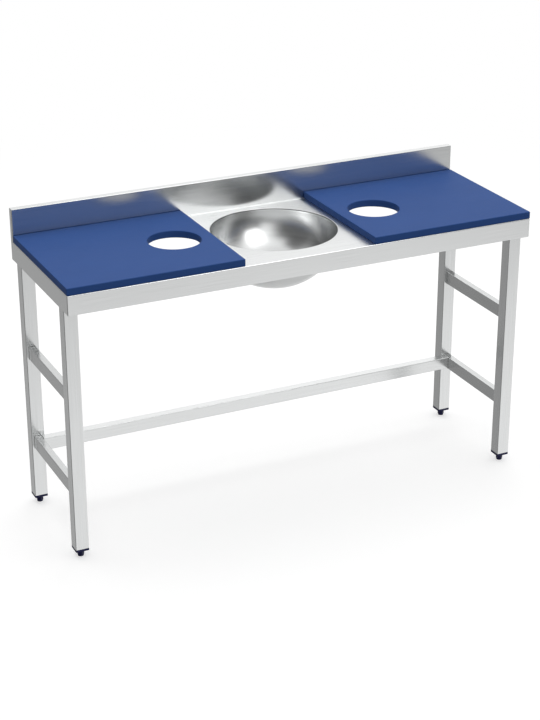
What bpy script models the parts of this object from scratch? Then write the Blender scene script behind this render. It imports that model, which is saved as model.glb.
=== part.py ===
"""A stainless steel preparation table with a round bowl and two lift-off cutting boards.

Metres, +Z up. The origin is on the floor under the middle of the worktop, +X runs along the
table to the user's right, and +Y points at the wall behind it.
"""
import math

import bmesh
import bpy
from mathutils import Matrix, Vector

# Worktop, one folded sheet with aprons and a hollow upstand along the wall
LENGTH = 1.500
DEPTH = 0.500
WORK_HEIGHT = 0.850
TOP_SHEET = 0.0015
BEND_RADIUS = 0.0026
APRON_HEIGHT = 0.060
HEM_WIDTH = 0.012
UPSTAND_HEIGHT = 0.103
UPSTAND_DEPTH = 0.021

# Bowl, spun from sheet and welded under a collar drawn down from the worktop
BOWL_RADIUS = 0.193
BOWL_DEPTH = 0.176
BOWL_WALL = 0.0012
BOWL_Y = 0.006
BOWL_STRAIGHT = 0.004
COLLAR_BEND = 0.002
COLLAR_DROP = 0.006

# Waste fitting in the bottom of the bowl
SEAT_RADIUS = 0.042
SEAT_STEP = 0.003
WASTE_HOLE_RADIUS = 0.024
WASTE_FLANGE_RADIUS = 0.0375
WASTE_FLANGE_THICKNESS = 0.0016
WASTE_TUBE_RADIUS = 0.0225
WASTE_TUBE_WALL = 0.0020
WASTE_TUBE_TAIL = 0.0008
WASTE_CROSS_WIDTH = 0.0030
WASTE_CROSS_HEIGHT = 0.0040
WASHER_RADIUS = 0.031
WASHER_THICKNESS = 0.0015
NUT_ACROSS_FLATS = 0.050
NUT_HEIGHT = 0.0045

# Cutting boards, flush with the worktop's front and ends, each with a scrap hole
BOARD_THICKNESS = 0.022
BOARD_BOWL_MARGIN = 0.0158
BOARD_EDGE_RADIUS = 0.0024
BOARD_REAR_CLEARANCE = 0.0022
SCRAP_HOLE_RADIUS = 0.080
SCRAP_HOLE_INSET = 0.1215
SCRAP_HOLE_MARGIN = 0.008
SCRAP_COLLAR_BEND = 0.0022
SCRAP_COLLAR_DROP = 0.0005

# Stiffening channels welded across under the worktop
CHANNEL_SHEET = 0.0015
CHANNEL_BEND = 0.0026
CHANNEL_DEPTH = 0.025
MID_CHANNEL_WIDTH = 0.040
INNER_CHANNEL_WIDTH = 0.026
END_CHANNEL_WIDTH = 0.075
CHANNEL_END_PLAY = 0.003
INNER_CHANNEL_OFFSET = 0.0008
MID_CHANNEL_INSET = 0.205

# Leg frame of square and rectangular tube
LEG_SIZE = 0.041
LEG_WALL = 0.0015
LEG_CORNER = 0.002
LEG_INSET = 0.041
RAIL_WIDTH = 0.022
RAIL_HEIGHT = 0.042
RAIL_WALL = 0.0015
RAIL_CORNER = 0.002
RAIL_OUTSET = 0.0015
BAR_DEPTH = 0.029
BAR_HEIGHT = 0.040
MID_RAIL_TOP = 0.535
LOW_RAIL_TOP = 0.236

# Plates welded on the legs' heads, bolted up to the end channels
PLATE_DEPTH = 0.080
PLATE_THICKNESS = 0.004
BOLT_RADIUS = 0.004
BOLT_LENGTH = 0.016
BOLT_HEAD_FLATS = 0.013
BOLT_HEAD_HEIGHT = 0.0053
BOLT_HOLE_PLAY = 0.0005
BOLT_CLEARANCE = 0.0105
WELD_NUT_FLATS = 0.013
WELD_NUT_HEIGHT = 0.0065

# Plastic insert in each leg and its screwed levelling foot
LEG_BOTTOM = 0.030
INSERT_FLANGE = 0.0075
INSERT_DEPTH = 0.028
INSERT_RIB_HEIGHT = 0.0025
INSERT_RIB_TAPER = 0.0006
INSERT_RIB_COUNT = 3
INSERT_CORE_STEP = 0.0018
STUD_RADIUS = 0.006
STUD_LENGTH = 0.053
STUD_SEAT_DEPTH = 0.010
STUD_CHAMFER = 0.001
FOOT_FLATS = 0.0185
FOOT_CHAMFER = 0.0008
GLIDE_RADIUS = 0.0092
GLIDE_THICKNESS = 0.004
GLIDE_BOSS_RADIUS = 0.004
GLIDE_BOSS_HEIGHT = 0.0045

# Clearance between pieces that touch, and how finely round shapes are stepped
GAP = 0.0003
BOWL_STEPS = 64
BOWL_PROFILE_STEPS = 9
SCRAP_HOLE_STEPS = 40
TURN_STEPS = 32
SMALL_STEPS = 16
BOLT_STEPS = 10
BEND_STEPS = 3
INSERT_CORNER_STEPS = 1
SMOOTH_ANGLE = math.radians(35)

# Levels and faces that several pieces share
END_X = LENGTH / 2
BACK_Y = DEPTH / 2
FRONT_Y = -DEPTH / 2
UPSTAND_Y = BACK_Y - UPSTAND_DEPTH
TOP_UNDERSIDE = WORK_HEIGHT - TOP_SHEET
CHANNEL_TOP = TOP_UNDERSIDE - GAP
CHANNEL_BOTTOM = CHANNEL_TOP - CHANNEL_DEPTH
PLATE_TOP = CHANNEL_BOTTOM - GAP
PLATE_BOTTOM = PLATE_TOP - PLATE_THICKNESS
LEG_TOP = PLATE_BOTTOM - GAP
LEG_OUTER_X = END_X - TOP_SHEET - GAP
LEG_X = LEG_OUTER_X - LEG_SIZE / 2
LEG_Y = DEPTH / 2 - LEG_INSET - LEG_SIZE / 2
RAIL_X = LEG_X + RAIL_OUTSET
PLATE_X = END_X - BEND_RADIUS - GAP - END_CHANNEL_WIDTH / 2
BOARD_INNER_X = BOWL_RADIUS + COLLAR_BEND + BOARD_BOWL_MARGIN
SCRAP_HOLE_X = BOARD_INNER_X + SCRAP_HOLE_INSET
INNER_CHANNEL_X = BOARD_INNER_X + INNER_CHANNEL_OFFSET
MID_CHANNEL_X = END_X - MID_CHANNEL_INSET
BOARD_REAR_Y = UPSTAND_Y - BOARD_REAR_CLEARANCE
SCRAP_HOLE_Y = (FRONT_Y + BOARD_REAR_Y) / 2
BOARD_BOTTOM = WORK_HEIGHT + GAP
SEAT_Z = WORK_HEIGHT - BOWL_DEPTH
WASTE_TOP = SEAT_Z + GAP
WASHER_TOP = SEAT_Z - BOWL_WALL - GAP
NUT_TOP = WASHER_TOP - WASHER_THICKNESS - GAP
INSERT_TOP = LEG_BOTTOM - GAP
FOOT_TOP = INSERT_TOP - INSERT_FLANGE - GAP
FOOT_BOTTOM = GLIDE_THICKNESS + GAP

SIDES = {"left": -1, "right": 1}
ROWS = {"front": -1, "rear": 1}


def clear_scene():
    """Start from an empty scene."""
    for obj in list(bpy.data.objects):
        bpy.data.objects.remove(obj)


def make_material(name, colour, metallic, roughness):
    """A plain Principled material."""
    material = bpy.data.materials.new(name)
    material.use_nodes = True
    shader = material.node_tree.nodes["Principled BSDF"]
    shader.inputs["Base Color"].default_value = (*colour, 1)
    shader.inputs["Metallic"].default_value = metallic
    shader.inputs["Roughness"].default_value = roughness
    return material


def link_mesh(name, mesh, material, location=(0, 0, 0)):
    """Place a mesh in the scene under a node's name."""
    mesh.materials.clear()
    mesh.materials.append(material)
    mesh.shade_smooth()
    mesh.set_sharp_from_angle(angle=SMOOTH_ANGLE)
    obj = bpy.data.objects.new(name, mesh)
    obj.location = location
    bpy.context.scene.collection.objects.link(obj)
    return obj


def link_bmesh(name, bm, material, location=(0, 0, 0)):
    """Turn a bmesh into an object."""
    mesh = bpy.data.meshes.new(name)
    bm.to_mesh(mesh)
    bm.free()
    return link_mesh(name, mesh, material, location)


def bake(obj):
    """Return the object's mesh with its modifiers applied, and remove the object."""
    bpy.context.view_layer.update()
    graph = bpy.context.evaluated_depsgraph_get()
    mesh = bpy.data.meshes.new_from_object(obj.evaluated_get(graph))
    bpy.data.objects.remove(obj)
    return mesh


def solidify(obj, thickness):
    """Give an open surface a wall that grows away from its visible side."""
    modifier = obj.modifiers.new("Wall", "SOLIDIFY")
    modifier.thickness = thickness
    modifier.offset = -1
    modifier.use_even_offset = True
    modifier.use_quality_normals = True


def combine(obj, tool, operation):
    """Join a hidden tool body to an object, or cut it out, by a Boolean."""
    tool.hide_render = True
    tool.display_type = "WIRE"
    modifier = obj.modifiers.new(operation.title(), "BOOLEAN")
    modifier.operation = operation
    modifier.object = tool


def circle_edges(bm, centre, radius, steps):
    """A ring of edges, counter-clockwise seen from above."""
    place = Matrix.Translation(centre)
    ring = bmesh.ops.create_circle(bm, segments=steps, radius=radius, matrix=place)
    edges = {edge for vert in ring["verts"] for edge in vert.link_edges}
    return list(edges)


def rectangle_edges(bm, low, high, z):
    """The four edges of a level rectangle."""
    corners = [(low[0], low[1]), (high[0], low[1]), (high[0], high[1]), (low[0], high[1])]
    verts = [bm.verts.new((x, y, z)) for x, y in corners]
    return [bm.edges.new((verts[i - 1], verts[i])) for i in range(4)]


def cylinder(bm, radius, low, high, steps, centre=(0, 0)):
    """A closed upright cylinder, or a prism if it has few steps."""
    middle = Matrix.Translation((centre[0], centre[1], (low + high) / 2))
    made = bmesh.ops.create_cone(
        bm,
        cap_ends=True,
        segments=steps,
        radius1=radius,
        radius2=radius,
        depth=high - low,
        matrix=middle,
    )
    return made["verts"]


def hexagon_radius(across_flats):
    """The corner radius of a hexagon."""
    return across_flats / math.sqrt(3)


def turned(profile, steps, closed=True):
    """Spin an outline of (radius, z) points about the Z axis."""
    bm = bmesh.new()
    verts = [bm.verts.new((radius, 0, z)) for radius, z in profile]
    first = 0 if closed else 1
    edges = [bm.edges.new((verts[i - 1], verts[i])) for i in range(first, len(verts))]
    bmesh.ops.spin(
        bm,
        geom=verts + edges,
        cent=(0, 0, 0),
        axis=(0, 0, 1),
        angle=2 * math.pi,
        steps=steps,
        use_merge=True,
    )
    bmesh.ops.remove_doubles(bm, verts=bm.verts[:], dist=1e-6)
    bmesh.ops.recalc_face_normals(bm, faces=bm.faces[:])
    return bm


def face_upwards(bm):
    """Turn an open surface over if more of it faces down than up."""
    lift = sum(face.normal.z * face.calc_area() for face in bm.faces)
    if lift < 0:
        bmesh.ops.reverse_faces(bm, faces=bm.faces[:])


def tube(name, size, length, corner, wall, material, location, turn=None):
    """An open-ended rectangular tube along Z, turned to lie along X or Y where asked."""
    bm = bmesh.new()
    low = (-size[0] / 2, -size[1] / 2)
    high = (size[0] / 2, size[1] / 2)
    edges = rectangle_edges(bm, low, high, -length / 2)
    bmesh.ops.contextual_create(bm, geom=edges)
    bmesh.ops.bevel(
        bm, geom=bm.verts[:], offset=corner, segments=BEND_STEPS, profile=0.5, affect="VERTICES"
    )
    bmesh.ops.delete(bm, geom=bm.faces[:], context="FACES_ONLY")
    raised = bmesh.ops.extrude_edge_only(bm, edges=bm.edges[:])
    top = [part for part in raised["geom"] if isinstance(part, bmesh.types.BMVert)]
    bmesh.ops.translate(bm, verts=top, vec=(0, 0, length))
    bmesh.ops.recalc_face_normals(bm, faces=bm.faces[:])
    bm.faces.ensure_lookup_table()
    side = bm.faces[0]
    if side.normal.dot(side.calc_center_median().xy.to_3d()) < 0:
        bmesh.ops.reverse_faces(bm, faces=bm.faces[:])
    if turn:
        bmesh.ops.rotate(bm, verts=bm.verts[:], matrix=Matrix.Rotation(math.pi / 2, 3, turn))
    obj = link_bmesh(name, bm, material, location)
    solidify(obj, wall)
    return obj


def draw_down(bm, edges, centre, bend, drop):
    """Turn the edge of a hole down into a collar: a quarter bend, then a short straight wall."""
    ring = list(edges)
    start = {vert: (vert.co.xy - centre) for edge in ring for vert in edge.verts}
    outer = next(iter(start.values())).length
    angles = [math.pi / 2 * (i + 1) / BEND_STEPS for i in range(BEND_STEPS)]
    profile = [(outer - bend * math.sin(a), -bend * (1 - math.cos(a))) for a in angles]
    profile.append((outer - bend, -bend - drop))
    for radius, depth in profile:
        made = bmesh.ops.extrude_edge_only(bm, edges=ring)
        verts = [part for part in made["geom"] if isinstance(part, bmesh.types.BMVert)]
        ring = [part for part in made["geom"] if isinstance(part, bmesh.types.BMEdge)]
        for vert in verts:
            flat = (vert.co.xy - centre).normalized() * radius
            vert.co = (centre.x + flat.x, centre.y + flat.y, WORK_HEIGHT + depth)


def make_worktop(steel):
    """Fold the sheet, close its ends, open the three holes and draw their edges down."""
    bottom = WORK_HEIGHT - APRON_HEIGHT
    crest = WORK_HEIGHT + UPSTAND_HEIGHT
    section = [
        (FRONT_Y + HEM_WIDTH, bottom),
        (FRONT_Y, bottom),
        (FRONT_Y, WORK_HEIGHT),
        (UPSTAND_Y, WORK_HEIGHT),
        (UPSTAND_Y, crest),
        (BACK_Y, crest),
        (BACK_Y, bottom),
        (BACK_Y - HEM_WIDTH, bottom),
    ]
    bm = bmesh.new()
    ends = {side: [bm.verts.new((side * END_X, y, z)) for y, z in section] for side in (-1, 1)}
    for i in range(len(section) - 1):
        bm.faces.new((ends[-1][i], ends[-1][i + 1], ends[1][i + 1], ends[1][i]))
    for verts in ends.values():
        bm.faces.new(verts)
    bmesh.ops.recalc_face_normals(bm, faces=bm.faces[:])
    face_upwards(bm)
    folds = [edge for edge in bm.edges if len(edge.link_faces) == 2]
    bmesh.ops.bevel(
        bm, geom=folds, offset=BEND_RADIUS, segments=BEND_STEPS, profile=0.5, affect="EDGES"
    )

    level = [face for face in bm.faces if face.normal.z > 0.99]
    table = max(level, key=lambda face: face.calc_area())
    border = list(table.edges)
    bmesh.ops.delete(bm, geom=[table], context="FACES_ONLY")
    holes = [(Vector((0, BOWL_Y)), BOWL_RADIUS, COLLAR_BEND, COLLAR_DROP, BOWL_STEPS)]
    for side in SIDES.values():
        centre = Vector((side * SCRAP_HOLE_X, SCRAP_HOLE_Y))
        radius = SCRAP_HOLE_RADIUS + SCRAP_HOLE_MARGIN
        holes.append((centre, radius, SCRAP_COLLAR_BEND, SCRAP_COLLAR_DROP, SCRAP_HOLE_STEPS))
    rings = []
    for centre, radius, bend, _, steps in holes:
        rings.append(circle_edges(bm, (centre.x, centre.y, WORK_HEIGHT), radius + bend, steps))
    edges = border + [edge for ring in rings for edge in ring]
    bmesh.ops.triangle_fill(bm, use_beauty=True, use_dissolve=False, edges=edges, normal=(0, 0, 1))
    for ring, (centre, _, bend, drop, _) in zip(rings, holes):
        draw_down(bm, ring, centre, bend, drop)
    bmesh.ops.recalc_face_normals(bm, faces=bm.faces[:])
    face_upwards(bm)
    solidify(link_bmesh("worktop", bm, steel), TOP_SHEET)


def make_bowl(steel):
    """Spin the bowl: a short straight wall under the collar, a deep round body and a waste seat."""
    rim = -COLLAR_BEND - COLLAR_DROP - GAP
    shoulder = rim - BOWL_STRAIGHT
    body = BOWL_DEPTH + shoulder
    last = math.acos(SEAT_RADIUS / BOWL_RADIUS)
    angles = [last * i / BOWL_PROFILE_STEPS for i in range(BOWL_PROFILE_STEPS + 1)]
    profile = [(BOWL_RADIUS, rim)]
    profile += [(BOWL_RADIUS * math.cos(a), shoulder - body * math.sin(a)) for a in angles]
    profile.append((SEAT_RADIUS - SEAT_STEP, -BOWL_DEPTH))
    profile.append((WASTE_HOLE_RADIUS, -BOWL_DEPTH))
    bm = turned(profile, BOWL_STEPS, closed=False)
    face_upwards(bm)
    solidify(link_bmesh("bowl", bm, steel, (0, BOWL_Y, WORK_HEIGHT)), BOWL_WALL)


def make_waste(chrome, rubber, plastic):
    """The flanged outlet with its cross, the rubber washer under the bowl and the back nut."""
    low = NUT_TOP - NUT_HEIGHT - WASTE_TUBE_TAIL - WASTE_TOP
    bore = WASTE_TUBE_RADIUS - WASTE_TUBE_WALL
    edge = WASTE_FLANGE_THICKNESS / 2
    profile = [
        (WASTE_TUBE_RADIUS, 0),
        (WASTE_FLANGE_RADIUS, 0),
        (WASTE_FLANGE_RADIUS, edge),
        (WASTE_FLANGE_RADIUS - edge, WASTE_FLANGE_THICKNESS),
        (WASTE_TUBE_RADIUS, WASTE_FLANGE_THICKNESS),
        (bore, WASTE_FLANGE_THICKNESS - WASTE_TUBE_WALL),
        (bore, low),
        (WASTE_TUBE_RADIUS, low),
    ]
    flange = link_bmesh("waste_outline", turned(profile, TURN_STEPS), chrome, (0, BOWL_Y, WASTE_TOP))
    top = -WASTE_TUBE_WALL
    reach = bore + WASTE_TUBE_WALL / 2
    half_width = WASTE_CROSS_WIDTH / 2
    bars = []
    for half_x, half_y in ((reach, half_width), (half_width, reach)):
        bm = bmesh.new()
        edges = rectangle_edges(bm, (-half_x, -half_y), (half_x, half_y), top - WASTE_CROSS_HEIGHT)
        face = bmesh.ops.contextual_create(bm, geom=edges)["faces"]
        raised = bmesh.ops.extrude_face_region(bm, geom=face)
        verts = [part for part in raised["geom"] if isinstance(part, bmesh.types.BMVert)]
        bmesh.ops.translate(bm, verts=verts, vec=(0, 0, WASTE_CROSS_HEIGHT))
        bmesh.ops.recalc_face_normals(bm, faces=bm.faces[:])
        bar = link_bmesh("waste_bar", bm, chrome, (0, BOWL_Y, WASTE_TOP))
        combine(flange, bar, "UNION")
        bars.append(bar)
    mesh = bake(flange)
    for bar in bars:
        bpy.data.objects.remove(bar)
    link_mesh("waste_flange", mesh, chrome, (0, BOWL_Y, WASTE_TOP))

    inner = WASTE_TUBE_RADIUS + GAP
    profile = [(inner, 0), (inner, -WASHER_THICKNESS)]
    profile += [(WASHER_RADIUS, -WASHER_THICKNESS), (WASHER_RADIUS, 0)]
    link_bmesh("waste_washer", turned(profile, TURN_STEPS), rubber, (0, BOWL_Y, WASHER_TOP))

    bm = bmesh.new()
    cylinder(bm, hexagon_radius(NUT_ACROSS_FLATS), -NUT_HEIGHT, 0, 6)
    nut = link_bmesh("nut_blank", bm, plastic, (0, BOWL_Y, NUT_TOP))
    bm = bmesh.new()
    cylinder(bm, inner, -NUT_HEIGHT * 2, NUT_HEIGHT, TURN_STEPS)
    drill = link_bmesh("nut_drill", bm, plastic, (0, BOWL_Y, NUT_TOP))
    combine(nut, drill, "DIFFERENCE")
    mesh = bake(nut)
    bpy.data.objects.remove(drill)
    link_mesh("waste_nut", mesh, plastic, (0, BOWL_Y, NUT_TOP))


def make_board(name, side, plastic):
    """A thick polyethylene board with its scrap hole and softened edges."""
    middle_x = side * (BOARD_INNER_X + END_X) / 2
    middle_y = (FRONT_Y + BOARD_REAR_Y) / 2
    half_x = (END_X - BOARD_INNER_X) / 2
    half_y = (BOARD_REAR_Y - FRONT_Y) / 2
    bm = bmesh.new()
    edges = rectangle_edges(bm, (-half_x, -half_y), (half_x, half_y), 0)
    centre = (side * SCRAP_HOLE_X - middle_x, SCRAP_HOLE_Y - middle_y, 0)
    edges += circle_edges(bm, centre, SCRAP_HOLE_RADIUS, SCRAP_HOLE_STEPS)
    bmesh.ops.triangle_fill(bm, use_beauty=True, use_dissolve=False, edges=edges, normal=(0, 0, 1))
    raised = bmesh.ops.extrude_face_region(bm, geom=bm.faces[:])
    verts = [part for part in raised["geom"] if isinstance(part, bmesh.types.BMVert)]
    bmesh.ops.translate(bm, verts=verts, vec=(0, 0, BOARD_THICKNESS))
    bmesh.ops.recalc_face_normals(bm, faces=bm.faces[:])
    board = link_bmesh(name, bm, plastic, (middle_x, middle_y, BOARD_BOTTOM))
    softening = board.modifiers.new("Edges", "BEVEL")
    softening.width = BOARD_EDGE_RADIUS
    softening.segments = 2
    softening.limit_method = "ANGLE"
    softening.angle_limit = SMOOTH_ANGLE


def make_channel(name, centre_x, width, steel, bolt_places=()):
    """A folded channel, open upwards, welded by its edges to the worktop's underside.

    Where legs bolt to it, its floor has holes with nuts welded over them.
    """
    half = width / 2
    length = DEPTH - 2 * TOP_SHEET - 2 * CHANNEL_END_PLAY
    section = [(-half, CHANNEL_DEPTH), (-half, 0), (half, 0), (half, CHANNEL_DEPTH)]
    bm = bmesh.new()
    ends = [[bm.verts.new((x, y, z)) for x, z in section] for y in (-length / 2, length / 2)]
    for i in range(len(section) - 1):
        bm.faces.new((ends[0][i], ends[0][i + 1], ends[1][i + 1], ends[1][i]))
    folds = [edge for edge in bm.edges if len(edge.link_faces) == 2]
    bmesh.ops.bevel(bm, geom=folds, offset=CHANNEL_BEND, segments=2, profile=0.5, affect="EDGES")
    bmesh.ops.recalc_face_normals(bm, faces=bm.faces[:])
    face_upwards(bm)
    bmesh.ops.reverse_faces(bm, faces=bm.faces[:])
    place = (centre_x, 0, CHANNEL_BOTTOM)
    channel = link_bmesh(name, bm, steel, place)
    solidify(channel, CHANNEL_SHEET)
    if bolt_places:
        nut_radius = hexagon_radius(WELD_NUT_FLATS)
        nut_top = CHANNEL_SHEET + WELD_NUT_HEIGHT
        bore = BOLT_RADIUS + GAP
        nut_bm = bmesh.new()
        drill_bm = bmesh.new()
        for x, y in bolt_places:
            centre = (x - centre_x, y)
            cylinder(nut_bm, nut_radius, CHANNEL_SHEET / 2, nut_top, 6, centre)
            cylinder(drill_bm, bore, -CHANNEL_SHEET, nut_top + CHANNEL_SHEET, BOLT_STEPS, centre)
        nuts = link_bmesh("weld_nuts", nut_bm, steel, place)
        drills = link_bmesh("nut_drills", drill_bm, steel, place)
        combine(channel, nuts, "UNION")
        combine(channel, drills, "DIFFERENCE")
        mesh = bake(channel)
        bpy.data.objects.remove(nuts)
        bpy.data.objects.remove(drills)
        link_mesh(name, mesh, steel, place)


def plate_centres():
    """The centre of each leg plate, under its end channel."""
    centres = {}
    for side, sign in SIDES.items():
        for row, way in ROWS.items():
            centres[(side, row)] = (sign * PLATE_X, way * LEG_Y)
    return centres


def bolt_pattern(centre):
    """The two bolts of one leg plate, in front of the leg and behind it."""
    reach = LEG_SIZE / 2 + BOLT_CLEARANCE
    return [(centre[0], centre[1] + way * reach) for way in ROWS.values()]


def make_plate_mesh(steel):
    """The drilled square plate that each leg carries on its head."""
    half_x = END_CHANNEL_WIDTH / 2
    half_y = PLATE_DEPTH / 2
    bm = bmesh.new()
    edges = rectangle_edges(bm, (-half_x, -half_y), (half_x, half_y), 0)
    for x, y in bolt_pattern((0, 0)):
        edges += circle_edges(bm, (x, y, 0), BOLT_RADIUS + BOLT_HOLE_PLAY, BOLT_STEPS)
    bmesh.ops.triangle_fill(bm, use_beauty=True, use_dissolve=False, edges=edges, normal=(0, 0, 1))
    raised = bmesh.ops.extrude_face_region(bm, geom=bm.faces[:])
    verts = [part for part in raised["geom"] if isinstance(part, bmesh.types.BMVert)]
    bmesh.ops.translate(bm, verts=verts, vec=(0, 0, PLATE_THICKNESS))
    bmesh.ops.recalc_face_normals(bm, faces=bm.faces[:])
    return bake(link_bmesh("plate_blank", bm, steel))


def make_bolts(steel):
    """Hexagon bolts up through the leg plates into the channels' nuts."""
    bm = bmesh.new()
    cylinder(bm, hexagon_radius(BOLT_HEAD_FLATS), -BOLT_HEAD_HEIGHT, 0, 6)
    head = link_bmesh("bolt_head", bm, steel)
    bm = bmesh.new()
    cylinder(bm, BOLT_RADIUS, -BOLT_HEAD_HEIGHT / 2, BOLT_LENGTH, BOLT_STEPS)
    shank = link_bmesh("bolt_shank", bm, steel)
    combine(head, shank, "UNION")
    bolt = bake(head)
    bpy.data.objects.remove(shank)
    for (side, row), centre in plate_centres().items():
        for end, (x, y) in zip(ROWS, bolt_pattern(centre)):
            link_mesh(f"leg_bolt_{row}_{side}_{end}", bolt, steel, (x, y, PLATE_BOTTOM - GAP))


def rounded_square(bm, half, corner, z):
    """A level loop of vertices round a square with stepped round corners."""
    verts = []
    for quarter in range(4):
        turn = math.pi / 2 * quarter
        middle = Vector((half - corner, half - corner))
        for i in range(INSERT_CORNER_STEPS + 1):
            angle = math.pi / 2 * i / INSERT_CORNER_STEPS
            point = middle + corner * Vector((math.cos(angle), math.sin(angle)))
            point.rotate(Matrix.Rotation(turn, 2))
            verts.append(bm.verts.new((point.x, point.y, z)))
    return verts


def make_insert_mesh(plastic):
    """A square plug: a flange as wide as the leg, a ribbed body and a bore for the stud."""
    seat = LEG_SIZE / 2 - LEG_WALL - GAP
    core = seat - INSERT_CORE_STEP
    corner = max(LEG_CORNER - LEG_WALL, GAP)
    pitch = INSERT_DEPTH / INSERT_RIB_COUNT
    levels = [(LEG_SIZE / 2, LEG_CORNER, -INSERT_FLANGE), (LEG_SIZE / 2, LEG_CORNER, 0)]
    for i in range(INSERT_RIB_COUNT):
        foot = pitch * (i + 1) - INSERT_RIB_HEIGHT
        tip = seat - INSERT_RIB_TAPER
        levels += [(core, corner, pitch * i), (core, corner, foot)]
        levels += [(seat, corner, foot), (tip, corner, foot + INSERT_RIB_HEIGHT)]
    bm = bmesh.new()
    loops = [rounded_square(bm, *level) for level in levels]
    for below, above in zip(loops, loops[1:]):
        for i in range(len(below)):
            bm.faces.new((below[i - 1], below[i], above[i], above[i - 1]))
    bm.faces.new(loops[0])
    bm.faces.new(loops[-1])
    bmesh.ops.recalc_face_normals(bm, faces=bm.faces[:])
    plug = link_bmesh("insert_blank", bm, plastic)
    bm = bmesh.new()
    cylinder(bm, STUD_RADIUS + GAP, -2 * INSERT_FLANGE, 2 * INSERT_DEPTH, SMALL_STEPS)
    drill = link_bmesh("insert_drill", bm, plastic)
    combine(plug, drill, "DIFFERENCE")
    mesh = bake(plug)
    bpy.data.objects.remove(drill)
    return mesh


def make_foot_mesh(plastic):
    """The hexagonal foot body, bored from above for its stud and from below for the glide."""
    bm = bmesh.new()
    cylinder(bm, hexagon_radius(FOOT_FLATS), FOOT_BOTTOM, FOOT_TOP, 6)
    sole = min(bm.faces, key=lambda face: face.calc_center_median().z)
    rim = list(sole.edges)
    bmesh.ops.bevel(bm, geom=rim, offset=FOOT_CHAMFER, segments=1, profile=0.5, affect="EDGES")
    body = link_bmesh("foot_blank", bm, plastic)
    bm = bmesh.new()
    seat = FOOT_TOP - STUD_SEAT_DEPTH
    socket_top = GLIDE_THICKNESS + GLIDE_BOSS_HEIGHT + GAP
    cylinder(bm, STUD_RADIUS + GAP, seat, FOOT_TOP + STUD_SEAT_DEPTH, SMALL_STEPS)
    cylinder(bm, GLIDE_BOSS_RADIUS + GAP, 0, socket_top, SMALL_STEPS)
    drill = link_bmesh("foot_drill", bm, plastic)
    combine(body, drill, "DIFFERENCE")
    mesh = bake(body)
    bpy.data.objects.remove(drill)
    return mesh


def make_stud_mesh(steel):
    """The foot's stud with chamfered ends."""
    low = FOOT_TOP - STUD_SEAT_DEPTH + GAP
    high = low + STUD_LENGTH
    waist = STUD_RADIUS - STUD_CHAMFER
    profile = [(0, low), (waist, low), (STUD_RADIUS, low + STUD_CHAMFER)]
    profile += [(STUD_RADIUS, high - STUD_CHAMFER), (waist, high), (0, high)]
    return bake(link_bmesh("stud_blank", turned(profile, SMALL_STEPS, closed=False), steel))


def make_glide_mesh(plastic):
    """The pad that stands on the floor, with the boss that the foot turns on."""
    top = GLIDE_THICKNESS + GLIDE_BOSS_HEIGHT
    soft = GLIDE_THICKNESS / 4
    profile = [(0, 0), (GLIDE_RADIUS - soft, 0), (GLIDE_RADIUS, soft), (GLIDE_RADIUS, GLIDE_THICKNESS)]
    profile += [(GLIDE_BOSS_RADIUS, GLIDE_THICKNESS), (GLIDE_BOSS_RADIUS, top), (0, top)]
    return bake(link_bmesh("glide_blank", turned(profile, SMALL_STEPS, closed=False), plastic))


def make_frame(steel):
    """Legs, side rails at two heights and the rear bar between the low rails."""
    for side, sign in SIDES.items():
        for row, way in ROWS.items():
            middle = (sign * LEG_X, way * LEG_Y, (LEG_BOTTOM + LEG_TOP) / 2)
            size = (LEG_SIZE, LEG_SIZE)
            tube(f"leg_{row}_{side}", size, LEG_TOP - LEG_BOTTOM, LEG_CORNER, LEG_WALL, steel, middle)
        span = 2 * LEG_Y - LEG_SIZE - 2 * GAP
        for level, top in (("mid", MID_RAIL_TOP), ("low", LOW_RAIL_TOP)):
            middle = (sign * RAIL_X, 0, top - RAIL_HEIGHT / 2)
            size = (RAIL_WIDTH, RAIL_HEIGHT)
            tube(f"rail_{level}_{side}", size, span, RAIL_CORNER, RAIL_WALL, steel, middle, "X")
    span = 2 * RAIL_X - RAIL_WIDTH - 2 * GAP
    middle = (0, LEG_Y - LEG_SIZE / 2 - GAP - BAR_DEPTH / 2, LOW_RAIL_TOP - BAR_HEIGHT / 2)
    tube("rear_bar", (BAR_HEIGHT, BAR_DEPTH), span, RAIL_CORNER, RAIL_WALL, steel, middle, "Y")


def make_feet(steel, blue):
    """An insert, a stud, a hexagonal foot and a glide at each leg, on the leg's axis."""
    insert = make_insert_mesh(blue)
    stud = make_stud_mesh(steel)
    foot = make_foot_mesh(blue)
    glide = make_glide_mesh(blue)
    for side, sign in SIDES.items():
        for row, way in ROWS.items():
            axis = (sign * LEG_X, way * LEG_Y)
            link_mesh(f"leg_insert_{row}_{side}", insert, blue, (*axis, INSERT_TOP))
            link_mesh(f"foot_stud_{row}_{side}", stud, steel, (*axis, 0))
            link_mesh(f"foot_hex_{row}_{side}", foot, blue, (*axis, 0))
            link_mesh(f"foot_glide_{row}_{side}", glide, blue, (*axis, 0))


def make_channels(steel):
    """Three channels under each half of the worktop; the end ones carry the legs."""
    for side, sign in SIDES.items():
        places = [place for row in ROWS for place in bolt_pattern(plate_centres()[(side, row)])]
        make_channel(f"channel_end_{side}", sign * PLATE_X, END_CHANNEL_WIDTH, steel, places)
        make_channel(f"channel_mid_{side}", sign * MID_CHANNEL_X, MID_CHANNEL_WIDTH, steel)
        make_channel(f"channel_inner_{side}", sign * INNER_CHANNEL_X, INNER_CHANNEL_WIDTH, steel)


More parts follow.
